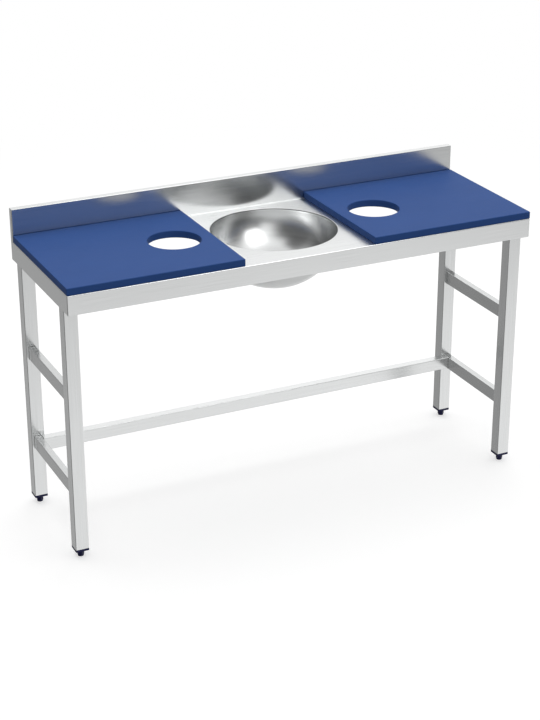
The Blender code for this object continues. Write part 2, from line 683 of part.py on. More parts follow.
def main():
    """Build the whole table."""
    clear_scene()
    sheet = make_material("worktop_steel", (0.62, 0.63, 0.63), 1.0, 0.28)
    bright = make_material("bowl_steel", (0.60, 0.61, 0.61), 1.0, 0.18)
    tubing = make_material("tube_steel", (0.58, 0.59, 0.59), 1.0, 0.35)
    zinc = make_material("fastener_steel", (0.55, 0.56, 0.57), 1.0, 0.40)
    chrome = make_material("waste_chrome", (0.70, 0.71, 0.72), 1.0, 0.12)
    rubber = make_material("washer_rubber", (0.02, 0.02, 0.02), 0.0, 0.80)
    white = make_material("nut_plastic", (0.75, 0.75, 0.74), 0.0, 0.50)
    board_blue = make_material("board_polyethylene", (0.055, 0.118, 0.312), 0.0, 0.55)
    foot_blue = make_material("foot_plastic", (0.012, 0.014, 0.055), 0.0, 0.45)
    make_worktop(sheet)
    make_bowl(bright)
    make_waste(chrome, rubber, white)
    for side, sign in SIDES.items():
        make_board(f"board_{side}", sign, board_blue)
    make_channels(sheet)
    plate = make_plate_mesh(zinc)
    for (side, row), (x, y) in plate_centres().items():
        link_mesh(f"leg_plate_{row}_{side}", plate, zinc, (x, y, PLATE_BOTTOM))
    make_bolts(zinc)
    make_frame(tubing)
    make_feet(zinc, foot_blue)


main()
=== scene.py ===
"""A stainless steel preparation table with a round bowl and two lift-off blue cutting boards.

Metres, +Z up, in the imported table's own frame: the origin is on the floor under the middle of the
worktop, +X runs along the table to the user's right, and +Y points at the wall behind it.
"""

import math

import bmesh
import bpy
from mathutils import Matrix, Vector


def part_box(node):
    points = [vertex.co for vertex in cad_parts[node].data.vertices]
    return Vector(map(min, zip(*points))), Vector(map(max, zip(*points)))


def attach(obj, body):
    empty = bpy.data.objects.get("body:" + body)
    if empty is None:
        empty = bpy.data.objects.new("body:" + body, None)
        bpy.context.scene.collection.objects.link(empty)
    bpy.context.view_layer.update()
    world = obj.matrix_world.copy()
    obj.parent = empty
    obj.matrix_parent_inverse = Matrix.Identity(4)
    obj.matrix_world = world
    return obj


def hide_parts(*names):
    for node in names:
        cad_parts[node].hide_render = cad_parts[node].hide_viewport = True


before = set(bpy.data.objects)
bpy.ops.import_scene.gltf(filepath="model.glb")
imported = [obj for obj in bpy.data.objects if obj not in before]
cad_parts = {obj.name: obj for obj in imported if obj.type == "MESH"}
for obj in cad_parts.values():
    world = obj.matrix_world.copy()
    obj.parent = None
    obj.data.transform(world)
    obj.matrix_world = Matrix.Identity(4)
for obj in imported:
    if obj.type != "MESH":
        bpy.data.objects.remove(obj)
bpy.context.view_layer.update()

# Worktop: one stainless sheet, folded down at the front and the ends, up into a hollow upstand
# along the wall, and hemmed back under. The bowl's opening has a drawn collar and each scrap hole
# a small rolled edge, and belt grinding along the table leaves a fine satin grain.
WORK_HEIGHT = 0.850
TOP_SHEET = 0.0015
TOP_FOLD = 0.0026
TOP_INNER_FOLD = 0.0013
TOP_HEM = 0.012
TOP_EASE = 0.0004
TOP_STEEL = (0.81, 0.82, 0.82)
LEVEL_AREA = 0.5
UPSTAND_DEPTH = 0.021
BOWL_X, BOWL_Y = 0.0, 0.006
BOWL_RADIUS = 0.193
COLLAR_BEND = 0.002
COLLAR_DROP = 0.006
COLLAR_STEPS = 160
SCRAP_X, SCRAP_Y = 0.3323, -0.0116
TOP_HOLE_RADIUS = 0.088
HOLE_BEND = 0.0022
HOLE_DROP = 0.0005
HOLE_STEPS = 112
SAME_PLACE = 1e-5
SQUARE_ON = 0.9
ALONG_X, ALONG_Y, ALONG_Z = 0, 1, 2
SIDES = {"left": -1, "right": 1}


def pick_none():
    """Deselects every piece, because an operator acts on all that is selected."""
    bpy.ops.object.select_all(action="DESELECT")


def pick_piece(piece):
    """Selects one piece only, and makes it the active one."""
    pick_none()
    piece.select_set(True)
    bpy.context.view_layer.objects.active = piece


def name_piece(name):
    """Names the new primitive and settles its place in its own mesh."""
    piece = bpy.context.active_object
    piece.name = name
    piece.data.name = name
    bpy.ops.object.transform_apply(location=True, rotation=True, scale=True)
    return piece


def add_plane(name, centre, size, turn=(0, 0, 0)):
    """A rectangle, level unless it is turned, ready to be folded."""
    pick_none()
    bpy.ops.mesh.primitive_plane_add(size=1, location=centre, rotation=turn)
    bpy.context.active_object.scale = (size[0], size[1], 1)
    return name_piece(name)


def open_mesh():
    """Opens the active piece's mesh to be shaped."""
    bpy.ops.object.mode_set(mode="EDIT")


def close_mesh():
    """Closes the open mesh again."""
    bpy.ops.object.mode_set(mode="OBJECT")


def pick_all(kind=None):
    """Selects all of the open mesh, as corners, edges or faces where that matters."""
    if kind:
        bpy.ops.mesh.select_mode(type=kind)
    bpy.ops.mesh.select_all(action="SELECT")


def pick_parts(piece, kind, test):
    """Selects only the edges or only the faces of the open mesh that pass a test."""
    bpy.ops.mesh.select_mode(type=kind)
    bpy.ops.mesh.select_all(action="DESELECT")
    mesh = bmesh.from_edit_mesh(piece.data)
    for part in mesh.edges if kind == "EDGE" else mesh.faces:
        if test(part):
            part.select_set(True)
    bmesh.update_edit_mesh(piece.data)


def pick_edges(piece, test):
    """Selects only the edges of the open mesh that pass a test."""
    pick_parts(piece, "EDGE", test)


def pick_faces(piece, test):
    """Selects only the faces of the open mesh that pass a test."""
    pick_parts(piece, "FACE", test)


def near(value, target, reach=SAME_PLACE):
    """Whether a value lies within reach of its target."""
    return abs(value - target) < reach


def edge_middle(edge):
    """The point halfway along an edge."""
    return (edge.verts[0].co + edge.verts[1].co) / 2


def ring_test(x, y, z, radius):
    """A test for the edges of one level ring."""
    def on_ring(edge):
        return all(
            near(vert.co.z, z) and near(math.hypot(vert.co.x - x, vert.co.y - y), radius)
            for vert in edge.verts
        )
    return on_ring


def fold_on(step):
    """Draws the selected edges out into a new wall, one step long."""
    bpy.ops.mesh.extrude_edges_move(TRANSFORM_OT_translate={"value": step})


def draw_ring(x, y, z, scale, rise):
    """Draws the selected ring on into the next one, wider or narrower by scale, and moved up by rise."""
    fold_on((0, 0, rise))
    bpy.ops.transform.resize(value=(scale, scale, 1), center_override=(x, y, z + rise))


def round_edges(radius, steps):
    """Turns the selected edges into round bends."""
    bpy.ops.mesh.bevel(offset=radius, segments=steps, profile=0.5, affect="EDGES")


def face_out(inside=False):
    """Turns all faces of the open mesh outwards, or inwards."""
    pick_all()
    bpy.ops.mesh.normals_make_consistent(inside=inside)


def finish_modifier(piece, kind, **settings):
    """Gives a piece one modifier and applies it."""
    bpy.context.view_layer.objects.active = piece
    modifier = piece.modifiers.new(kind.title(), kind)
    for setting, value in settings.items():
        setattr(modifier, setting, value)
    bpy.ops.object.modifier_apply(modifier=modifier.name)


def give_wall(piece, thickness):
    """Thickens a sheet away from its visible side."""
    finish_modifier(
        piece, "SOLIDIFY", thickness=thickness, offset=-1, use_even_offset=True,
        use_quality_normals=True,
    )


def ease_edges(piece, width, steps=2):
    """Takes the sharpness off a piece's edges, as a file or a deburring wheel does."""
    finish_modifier(
        piece, "BEVEL", width=width, segments=steps, limit_method="ANGLE",
        angle_limit=math.radians(50),
    )


def smooth_piece(piece, angle=40):
    """Smooth shading that keeps flat faces flat and corners sharp."""
    pick_piece(piece)
    bpy.ops.object.shade_smooth_by_angle(angle=math.radians(angle))
    finish_modifier(piece, "WEIGHTED_NORMAL", weight=100, keep_sharp=True)


def new_skin(name, inputs):
    """A shader node group that gives a surface its colour, roughness and relief."""
    group = bpy.data.node_groups.new(name, "ShaderNodeTree")
    for label, kind, value in inputs:
        socket = group.interface.new_socket(label, in_out="INPUT", socket_type="NodeSocket" + kind)
        if value is not None:
            socket.default_value = value
    for label, kind in (("Colour", "Color"), ("Roughness", "Float"), ("Normal", "Vector")):
        group.interface.new_socket(label, in_out="OUTPUT", socket_type="NodeSocket" + kind)
    return group


def add_node(tree, kind, inputs=None, **settings):
    """A node with its settings; each input takes a value, or a link from another node's output."""
    node = tree.nodes.new(kind)
    for setting, value in settings.items():
        setattr(node, setting, value)
    for label, value in (inputs or {}).items():
        if isinstance(value, bpy.types.NodeSocket):
            tree.links.new(value, node.inputs[label])
        else:
            node.inputs[label].default_value = value
    return node


def add_math(tree, operation, *terms):
    """One step of arithmetic."""
    return add_node(tree, "ShaderNodeMath", dict(enumerate(terms)), operation=operation).outputs[0]


def add_noise(tree, place, scale, detail, roughness=0.5):
    """A cloudy noise over a place."""
    values = {"Vector": place, "Scale": scale, "Detail": detail, "Roughness": roughness}
    return add_node(tree, "ShaderNodeTexNoise", values).outputs[0]


def add_ramp(tree, value, start, end, low=0.0, high=1.0, shape="SMOOTHSTEP"):
    """Goes from low to high while a value goes from start to end."""
    values = {"Value": value, "From Min": start, "From Max": end, "To Min": low, "To Max": high}
    return add_node(tree, "ShaderNodeMapRange", values, interpolation_type=shape).outputs["Result"]


def add_scaled(tree, vector, scale):
    """A vector or a colour times a number."""
    values = {0: vector, "Scale": scale}
    return add_node(tree, "ShaderNodeVectorMath", values, operation="SCALE").outputs[0]


# The satin grain: fine scratches much longer than wide, gathered in streaks where the belt ran
# coarser, over soft patches where the steel was wiped and handled.
SCRATCH_SHADE = 0.06
STREAK_SHADE = 0.16
SCRATCH_DEPTH = 0.00003
satin_grain = new_skin("satin_grain", [
    ("Along", "Vector", None),
    ("Place", "Vector", None),
    ("Steel", "Color", None),
    ("Roughness", "Float", 0.25),
    ("Grain", "Float", 0.05),
    ("Handling", "Float", 0.05),
    ("Relief", "Float", 0.1),
])
grain_in = add_node(satin_grain, "NodeGroupInput").outputs
scratches = add_noise(satin_grain, grain_in["Along"], scale=1.0, detail=4.0, roughness=0.65)
streaks = add_noise(satin_grain, grain_in["Along"], scale=0.12, detail=2.0, roughness=0.6)
patches = add_noise(satin_grain, grain_in["Place"], scale=7.0, detail=3.0, roughness=0.5)
scratch_level = add_math(satin_grain, "SUBTRACT", scratches, 0.5)
streak_level = add_math(satin_grain, "SUBTRACT", streaks, 0.5)
patch_level = add_math(satin_grain, "SUBTRACT", patches, 0.5)
scratch_rough = add_math(
    satin_grain, "MULTIPLY_ADD", scratch_level, grain_in["Grain"], grain_in["Roughness"]
)
streak_rough = add_math(satin_grain, "MULTIPLY_ADD", streak_level, grain_in["Grain"], scratch_rough)
patch_rough = add_math(satin_grain, "MULTIPLY_ADD", patch_level, grain_in["Handling"], streak_rough)
scratch_shade = add_math(satin_grain, "MULTIPLY_ADD", scratch_level, SCRATCH_SHADE, 1.0)
streak_shade = add_math(satin_grain, "MULTIPLY_ADD", streak_level, STREAK_SHADE, scratch_shade)
grain_bump = add_node(satin_grain, "ShaderNodeBump", {
    "Strength": grain_in["Relief"], "Distance": SCRATCH_DEPTH, "Height": scratches})
add_node(satin_grain, "NodeGroupOutput", {
    "Colour": add_scaled(satin_grain, grain_in["Steel"], streak_shade),
    "Roughness": patch_rough,
    "Normal": grain_bump.outputs[0],
})


def new_material(name):
    """A new material and its node tree."""
    material = bpy.data.materials.new(name)
    material.use_nodes = True
    return material, material.node_tree


def lay_skin(tree, group, place, along, looks):
    """Puts a skin's colour, roughness and relief on a material's shader."""
    shader = tree.nodes["Principled BSDF"]
    values = {"Place": place, "Along": along, **looks}
    skin = add_node(tree, "ShaderNodeGroup", values, node_tree=group).outputs
    tree.links.new(skin["Colour"], shader.inputs["Base Color"])
    tree.links.new(skin["Roughness"], shader.inputs["Roughness"])
    tree.links.new(skin["Normal"], shader.inputs["Normal"])
    return shader


GRAIN_ACROSS = 2600.0
GRAIN_ALONG = 45.0


def satin_steel(name, colour, roughness, run, grain=0.08, handling=0.05, relief=0.08):
    """Ground stainless steel whose scratches run along one axis."""
    material, tree = new_material(name)
    place = add_node(tree, "ShaderNodeTexCoord").outputs["Object"]
    scales = [GRAIN_ACROSS, GRAIN_ACROSS, GRAIN_ACROSS]
    scales[run] = GRAIN_ALONG
    along = add_node(tree, "ShaderNodeMapping", {"Vector": place, "Scale": scales}).outputs[0]
    shader = lay_skin(tree, satin_grain, place, along, {
        "Steel": (*colour, 1), "Roughness": roughness, "Grain": grain, "Handling": handling,
        "Relief": relief})
    shader.inputs["Metallic"].default_value = 1.0
    return material


def wear(piece, material, body):
    """Dresses a finished piece: its material and the body it rides on."""
    piece.data.materials.clear()
    piece.data.materials.append(material)
    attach(piece, body)


top_low, top_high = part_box("worktop")
upstand_low, upstand_high = top_high.y - UPSTAND_DEPTH, top_high.y
apron_bottom = top_low.z


def at_upstand_foot(edge):
    """Whether an edge is the inside bend between the level part and the upstand."""
    middle = edge_middle(edge)
    at_foot = near(middle.y, upstand_low, 10 * SAME_PLACE) and near(middle.z, WORK_HEIGHT, 10 * SAME_PLACE)
    return at_foot and near(middle.x, 0, top_high.x / 2)


worktop = add_plane(
    "worktop_sheet",
    (0, (top_low.y + upstand_low) / 2, WORK_HEIGHT),
    (top_high.x - top_low.x, upstand_low - top_low.y),
)
open_mesh()
pick_edges(worktop, lambda edge: edge_middle(edge).y > upstand_low - SAME_PLACE)
for fold in (
    (0, 0, top_high.z - WORK_HEIGHT),
    (0, upstand_high - upstand_low, 0),
    (0, 0, apron_bottom - top_high.z),
    (0, -TOP_HEM, 0),
):
    fold_on(fold)
pick_edges(worktop, lambda edge: edge_middle(edge).y < top_low.y + SAME_PLACE)
for fold in ((0, 0, apron_bottom - WORK_HEIGHT), (0, TOP_HEM, 0)):
    fold_on(fold)
for end in (top_low.x, top_high.x):
    pick_edges(worktop, lambda edge: near(edge_middle(edge).x, end))
    bpy.ops.mesh.edge_face_add()
pick_edges(worktop, lambda edge: len(edge.link_faces) == 2 and not at_upstand_foot(edge))
round_edges(TOP_FOLD, steps=5)
pick_edges(worktop, at_upstand_foot)
round_edges(TOP_INNER_FOLD, steps=4)
pick_faces(worktop, lambda face: face.normal.z > SQUARE_ON and face.calc_area() > LEVEL_AREA)
bpy.ops.mesh.delete(type="ONLY_FACE")
holes = [(BOWL_X, BOWL_Y, BOWL_RADIUS, COLLAR_BEND, COLLAR_DROP, COLLAR_STEPS)]
for sign in SIDES.values():
    holes.append((sign * SCRAP_X, SCRAP_Y, TOP_HOLE_RADIUS, HOLE_BEND, HOLE_DROP, HOLE_STEPS))
for x, y, radius, bend, drop, steps in holes:
    bpy.ops.mesh.primitive_circle_add(
        vertices=steps, radius=radius + 2 * bend, location=(x, y, WORK_HEIGHT)
    )
pick_edges(
    worktop, lambda edge: len(edge.link_faces) < 2 and edge_middle(edge).z > WORK_HEIGHT - SAME_PLACE
)
bpy.ops.mesh.fill(use_beauty=True)
for x, y, radius, bend, drop, steps in holes:
    pick_edges(worktop, ring_test(x, y, WORK_HEIGHT, radius + 2 * bend))
    draw_ring(x, y, WORK_HEIGHT, radius / (radius + 2 * bend), 0)
    draw_ring(x, y, WORK_HEIGHT, 1, -bend - drop)
    pick_edges(worktop, ring_test(x, y, WORK_HEIGHT, radius))
    round_edges(bend, steps=6)
face_out()
close_mesh()
give_wall(worktop, TOP_SHEET)
ease_edges(worktop, TOP_EASE)
smooth_piece(worktop)
top_satin = satin_steel("worktop_satin", TOP_STEEL, roughness=0.21, run=ALONG_X)
wear(worktop, top_satin, "table")
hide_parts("worktop")

# A fine ring of painted shade runs round the collar just under its bend, darker and duller than the
# sheet round it. The level part is scoured a bit duller than the folds, and the upstand's front face
# above it is darkened by painted shade.
JOINT_HEIGHT = 0.8474
JOINT_HALF = 0.0012
JOINT_SOFT = 0.4
JOINT_REACH = 0.1956
JOINT_PAINTED_SHADE = 0.75
JOINT_DULL = 0.15
LEVEL_DULL = 0.08
LEVEL_FACING = (0.5, 0.98)
UPSTAND_PAINTED_SHADE = 0.18
UPSTAND_FACING = (-0.98, -0.5)
UPSTAND_START = WORK_HEIGHT + 0.003


def round_the_bowl(tree, place, height):
    """How far a place is from the bowl's upright middle line, and how far it is above a height."""
    centred = add_node(tree, "ShaderNodeMapping", {
        "Vector": place, "Location": (-BOWL_X, -BOWL_Y, -height)})
    spot = add_node(tree, "ShaderNodeSeparateXYZ", {0: centred.outputs[0]}).outputs
    flat = add_node(tree, "ShaderNodeCombineXYZ", {"X": spot["X"], "Y": spot["Y"]}).outputs[0]
    reach = add_node(tree, "ShaderNodeVectorMath", {0: flat}, operation="LENGTH").outputs["Value"]
    return reach, spot["Z"]


top_tree = top_satin.node_tree
top_shader = top_tree.nodes["Principled BSDF"]
satin_colour = top_shader.inputs["Base Color"].links[0].from_socket
satin_rough = top_shader.inputs["Roughness"].links[0].from_socket
top_place = add_node(top_tree, "ShaderNodeTexCoord").outputs
top_facing = add_node(top_tree, "ShaderNodeSeparateXYZ", {0: top_place["Normal"]}).outputs
joint_reach, joint_rise = round_the_bowl(top_tree, top_place["Object"], JOINT_HEIGHT)
joint_near = add_math(top_tree, "LESS_THAN", joint_reach, JOINT_REACH)
joint_off = add_math(top_tree, "ABSOLUTE", joint_rise)
joint_ends = (JOINT_HALF * (1 - JOINT_SOFT), JOINT_HALF * (1 + JOINT_SOFT))
joint_soft = add_ramp(top_tree, joint_off, *joint_ends, 1.0, 0.0, "LINEAR")
joint_mask = add_math(top_tree, "MULTIPLY", joint_near, joint_soft)
# Painted shade: a fine dark ring round the collar just under its bend, standing in for the shadow of a
# small step.
joint_painted_shade = add_math(top_tree, "MULTIPLY_ADD", joint_mask, -JOINT_PAINTED_SHADE, 1.0)
level_mask = add_ramp(top_tree, top_facing["Z"], *LEVEL_FACING)
level_rough = add_math(top_tree, "MULTIPLY_ADD", level_mask, LEVEL_DULL, satin_rough)
top_rough = add_math(top_tree, "MULTIPLY_ADD", joint_mask, JOINT_DULL, level_rough)
# Painted shade: the upstand's front face is made darker, standing in for the darker light it catches and
# mirrors.
upstand_above = add_math(top_tree, "GREATER_THAN", joint_rise, UPSTAND_START - JOINT_HEIGHT)
upstand_front = add_ramp(top_tree, top_facing["Y"], *UPSTAND_FACING, 1.0, 0.0)
upstand_painted_shade_mask = add_math(top_tree, "MULTIPLY", upstand_above, upstand_front)
top_shade = add_math(top_tree, "MULTIPLY_ADD", upstand_painted_shade_mask, -UPSTAND_PAINTED_SHADE, joint_painted_shade)
top_tree.links.new(add_scaled(top_tree, satin_colour, top_shade), top_shader.inputs["Base Color"])
top_tree.links.new(top_rough, top_shader.inputs["Roughness"])

# Bowl: spun on a lathe from one disc of stainless sheet, with a short straight wall that is
# welded and ground under the worktop's collar, a deep round body and a recessed seat for the
# outlet. Its inside is polished brighter than the top, and the tool's marks run round it.
FIT_GAP = 0.0003
BOWL_WALL = 0.0012
BOWL_BOTTOM = 0.674
BOWL_STRAIGHT = 0.004
BOWL_RIM = WORK_HEIGHT - COLLAR_BEND - COLLAR_DROP - FIT_GAP
BOWL_SHOULDER = BOWL_RIM - BOWL_STRAIGHT
BOWL_STEPS = 36
SEAT_RADIUS = 0.042
SEAT_FLAT = 0.039
SEAT_BEND, SEAT_RISE = 0.001, 0.0008
WASTE_HOLE = 0.024
BOWL_STEEL = (0.72, 0.73, 0.73)
TOOL_MARKS = 900.0


def add_circle(name, x, y, height, radius, steps, fill="NOTHING"):
    """A level ring of corners, or a filled one, ready to be drawn up."""
    pick_none()
    bpy.ops.mesh.primitive_circle_add(
        vertices=steps, radius=radius, fill_type=fill, location=(x, y, height)
    )
    return name_piece(name)


def turn_piece(name, x, y, rings, steps):
    """Turns a piece as on a lathe: each (radius, height) is the next ring drawn from the last."""
    radius, height = rings[0]
    piece = add_circle(name, x, y, height, radius, steps)
    open_mesh()
    pick_all("EDGE")
    for next_radius, next_height in rings[1:]:
        draw_ring(x, y, height, next_radius / radius, next_height - height)
        radius, height = next_radius, next_height
    return piece


def join_rings():
    """Joins the last ring of a turned piece to its first, which lie in the same place."""
    pick_all()
    bpy.ops.mesh.remove_doubles(threshold=SAME_PLACE)
    face_out()
    close_mesh()


bowl_rings = [(BOWL_RADIUS, BOWL_RIM), (BOWL_RADIUS, BOWL_SHOULDER)]
bowl_body = BOWL_SHOULDER - BOWL_BOTTOM
seat_angle = math.acos(SEAT_RADIUS / BOWL_RADIUS)
for step in range(1, BOWL_STEPS + 1):
    angle = seat_angle * step / BOWL_STEPS
    bowl_rings.append((BOWL_RADIUS * math.cos(angle), BOWL_SHOULDER - bowl_body * math.sin(angle)))
bowl_rings += [(SEAT_FLAT + SEAT_BEND, BOWL_BOTTOM + SEAT_RISE), (SEAT_FLAT, BOWL_BOTTOM)]
bowl_rings.append((WASTE_HOLE, BOWL_BOTTOM))
bowl = turn_piece("spun_bowl", BOWL_X, BOWL_Y, bowl_rings, COLLAR_STEPS)
face_out(inside=True)
close_mesh()
give_wall(bowl, BOWL_WALL)
smooth_piece(bowl)

bowl_satin, bowl_tree = new_material("bowl_spun_steel")
bowl_place = add_node(bowl_tree, "ShaderNodeTexCoord").outputs["Object"]
bowl_reach, bowl_rise = round_the_bowl(bowl_tree, bowl_place, 0)
bowl_round = add_node(bowl_tree, "ShaderNodeCombineXYZ", {"X": bowl_reach, "Y": bowl_rise})
bowl_marks = add_node(bowl_tree, "ShaderNodeMapping", {
    "Vector": bowl_round.outputs[0], "Scale": (TOOL_MARKS, TOOL_MARKS, TOOL_MARKS)})
bowl_shader = lay_skin(bowl_tree, satin_grain, bowl_place, bowl_marks.outputs[0], {
    "Steel": (*BOWL_STEEL, 1), "Roughness": 0.24, "Grain": 0.06, "Handling": 0.03, "Relief": 0.06})
bowl_shader.inputs["Metallic"].default_value = 1.0
wear(bowl, bowl_satin, "table")
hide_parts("bowl")

# The weld between the collar and the bowl, ground almost flush all the way round.
SEAM_PROUD = 0.00005
SEAM_BELOW, SEAM_ABOVE = 0.0007, 0.0010
seam_inner, seam_outer = BOWL_RADIUS - SEAM_PROUD, BOWL_RADIUS + BOWL_WALL
seam_low, seam_high = BOWL_RIM - SEAM_BELOW, BOWL_RIM + SEAM_ABOVE
seam_rings = [
    (seam_inner, seam_low), (seam_inner, seam_high), (seam_outer, seam_high), (seam_outer, seam_low),
    (seam_inner, seam_low),
]
bowl_seam = turn_piece("bowl_seam", BOWL_X, BOWL_Y, seam_rings, COLLAR_STEPS)
join_rings()
smooth_piece(bowl_seam)
wear(bowl_seam, bowl_satin, "table")

# Cutting boards: 22 mm plates of dense blue polyethylene, planed to a fine matt face and laid
# loose on the worktop. Their edges and the round scrap hole are run over with a rounding cutter.
BOARD_BLUE = (0.029, 0.086, 0.288)
BOARD_MARKS = (14.0, 420.0, 420.0)
BOARD_ROUND = 0.0024
BOARD_MARGIN = 3 * BOARD_ROUND
BOARD_CORNER = math.radians(60)
SCRAP_RADIUS = 0.080
SCRAP_STEPS = 96
WELL_INSIDE = 1e-4

# The skin of a plastic: clouds in its colour, a fine grain, and faint marks along the way it was
# planed or drawn.
MOULD_MARKS = (260.0, 260.0, 260.0)
SKIN_ROUGH = 0.10
SKIN_DEPTH = 0.00005
plastic_skin = new_skin("plastic_skin", [
    ("Place", "Vector", None),
    ("Along", "Vector", None),
    ("Plastic", "Color", None),
    ("Roughness", "Float", 0.5),
    ("Cloud", "Float", 0.1),
    ("Relief", "Float", 0.2),
])
skin_in = add_node(plastic_skin, "NodeGroupInput").outputs
skin_cloud = add_noise(plastic_skin, skin_in["Place"], scale=9.0, detail=3.0)
skin_fine = add_noise(plastic_skin, skin_in["Place"], scale=1400.0, detail=2.0)
skin_marks = add_noise(plastic_skin, skin_in["Along"], scale=1.0, detail=3.0)
skin_level = add_math(plastic_skin, "SUBTRACT", skin_cloud, 0.5)
skin_shade = add_math(plastic_skin, "MULTIPLY_ADD", skin_level, skin_in["Cloud"], 1.0)
skin_sum = add_math(plastic_skin, "ADD", skin_fine, skin_marks)
skin_even = add_math(plastic_skin, "SUBTRACT", skin_sum, 1.0)
skin_rough = add_math(plastic_skin, "MULTIPLY_ADD", skin_even, SKIN_ROUGH, skin_in["Roughness"])
skin_bump = add_node(plastic_skin, "ShaderNodeBump", {
    "Strength": skin_in["Relief"], "Distance": SKIN_DEPTH, "Height": skin_sum})
add_node(plastic_skin, "NodeGroupOutput", {
    "Colour": add_scaled(plastic_skin, skin_in["Plastic"], skin_shade),
    "Roughness": skin_rough,
    "Normal": skin_bump.outputs[0],
})


def matt_plastic(name, colour, roughness, specular, marks=MOULD_MARKS, cloud=0.12, relief=0.2):
    """A moulded or planed plastic; marks are how close its surface marks lie along each axis."""
    material, tree = new_material(name)
    place = add_node(tree, "ShaderNodeTexCoord").outputs["Object"]
    along = add_node(tree, "ShaderNodeMapping", {"Vector": place, "Scale": marks}).outputs[0]
    shader = lay_skin(tree, plastic_skin, place, along, {
        "Plastic": (*colour, 1), "Roughness": roughness, "Cloud": cloud, "Relief": relief})
    shader.inputs["Specular IOR Level"].default_value = specular
    return material


def middle_at(low, high, height):
    """The middle of a box's outline, at a height."""
    return ((low.x + high.x) / 2, (low.y + high.y) / 2, height)


def lay_plate(name, low, high, height):
    """A level rectangle over a box's whole outline, at a height."""
    return add_plane(name, middle_at(low, high, height), (high.x - low.x, high.y - low.y))


def push_on(step):
    """Pushes the selected faces out into a solid, one step long."""
    bpy.ops.mesh.extrude_region_move(TRANSFORM_OT_translate={"value": step})


def inside_test(low, high):
    """A test for the edges round a board's open middle: its hole's ring and its inner margin."""
    def is_inside(edge):
        middle = edge_middle(edge)
        inside = all(
            low[axis] + WELL_INSIDE < middle[axis] < high[axis] - WELL_INSIDE
            for axis in (ALONG_X, ALONG_Y)
        )
        return len(edge.link_faces) == 0 or (len(edge.link_faces) == 1 and inside)
    return is_inside


board_matt = matt_plastic(
    "board_blue_polyethylene", BOARD_BLUE, roughness=0.56, specular=0.13, marks=BOARD_MARKS
)
for side, sign in SIDES.items():
    low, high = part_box(f"board_{side}")
    x = sign * SCRAP_X
    wide = SCRAP_RADIUS + BOARD_MARGIN
    board = lay_plate(f"cutting_board_{side}", low, high, high.z)
    open_mesh()
    pick_all()
    bpy.ops.mesh.inset(thickness=BOARD_MARGIN)
    bpy.ops.mesh.delete(type="ONLY_FACE")
    bpy.ops.mesh.primitive_circle_add(vertices=SCRAP_STEPS, radius=wide, location=(x, SCRAP_Y, high.z))
    pick_edges(board, inside_test(low, high))
    bpy.ops.mesh.fill(use_beauty=True)
    pick_edges(board, ring_test(x, SCRAP_Y, high.z, wide))
    draw_ring(x, SCRAP_Y, high.z, SCRAP_RADIUS / wide, 0)
    face_out()
    push_on((0, 0, low.z - high.z))
    face_out()
    pick_edges(board, lambda edge: edge.calc_face_angle(0) > BOARD_CORNER)
    round_edges(BOARD_ROUND, steps=5)
    close_mesh()
    smooth_piece(board)
    wear(board, board_matt, f"board_{side}")
    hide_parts(f"board_{side}")

# Leg frame: square tube legs with side rails of rectangular tube at two heights and one bar
# along the back, all of drawn and polished stainless tube with small tight corners.
TUBE_CORNER = 0.002
TUBE_WALL = 0.0015
TUBE_STEEL = (0.77, 0.78, 0.78)
# The rails' colour is the legs' tube steel painted darker: painted shade for the darker light their faces
# catch.
RAIL_STEEL_PAINTED_SHADE = (0.65, 0.66, 0.66)
BAR_STEEL = (0.80, 0.81, 0.81)
ROWS = {"front": -1, "rear": 1}


def add_block(name, centre, size):
    """A rectangular block, ready to be shaped."""
    pick_none()
    bpy.ops.mesh.primitive_cube_add(size=1, location=centre)
    bpy.context.active_object.scale = size
    return name_piece(name)


def draw_tube(name, node, axis):
    """An open-ended tube with rounded corners in the place of a CAD tube, along one axis."""
    low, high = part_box(node)
    tube = add_block(name, (low + high) / 2, high - low)
    open_mesh()
    pick_faces(tube, lambda face: abs(face.normal[axis]) > SQUARE_ON)
    bpy.ops.mesh.delete(type="ONLY_FACE")
    pick_edges(tube, lambda edge: len(edge.link_faces) == 2)
    round_edges(TUBE_CORNER, steps=6)
    close_mesh()
    give_wall(tube, TUBE_WALL)
    smooth_piece(tube)
    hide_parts(node)
    return tube


def tube_satin(name, colour, roughness, run):
    """Tube steel, polished along its length to a finer grain than the worktop's."""
    return satin_steel(name, colour, roughness, run, grain=0.05, handling=0.04, relief=0.04)


leg_satin = tube_satin("leg_tube_satin", TUBE_STEEL, roughness=0.22, run=ALONG_Z)
# Rails: tube steel with painted shade, darker than the legs.
rail_shaded_satin = tube_satin("rail_tube_shaded_satin", RAIL_STEEL_PAINTED_SHADE, roughness=0.22, run=ALONG_Y)
bar_satin = tube_satin("bar_tube_satin", BAR_STEEL, roughness=0.23, run=ALONG_X)
for side in SIDES:
    for row in ROWS:
        leg = draw_tube(f"leg_tube_{row}_{side}", f"leg_{row}_{side}", ALONG_Z)
        wear(leg, leg_satin, "table")
    for level in ("mid", "low"):
        rail = draw_tube(f"rail_tube_{level}_{side}", f"rail_{level}_{side}", ALONG_Y)
        wear(rail, rail_shaded_satin, "table")
bar = draw_tube("rear_bar_tube", "rear_bar", ALONG_X)
wear(bar, bar_satin, "table")

# Welds of the leg frame: one thin bead round each end of a rail and of the rear bar, where it
# meets the face that it is welded to. It is brushed, but stays rougher than the tube, and its dark
# grey is partly the weld's own tone and partly painted shade where the tubes meet.
BEAD_RADIUS = 0.0006
BEAD_STEEL_AND_SHADE = (0.22, 0.22, 0.22)
QUARTER_TURN = math.pi / 2
bead_steel_and_shade = satin_steel(
    "weld_bead_steel", BEAD_STEEL_AND_SHADE, roughness=0.42, run=ALONG_Z, grain=0.20, handling=0.10, relief=0.40
)


def round_corners(radius, steps):
    """Rounds the selected corners of an outline."""
    bpy.ops.mesh.bevel(offset=radius, segments=steps, affect="VERTICES")


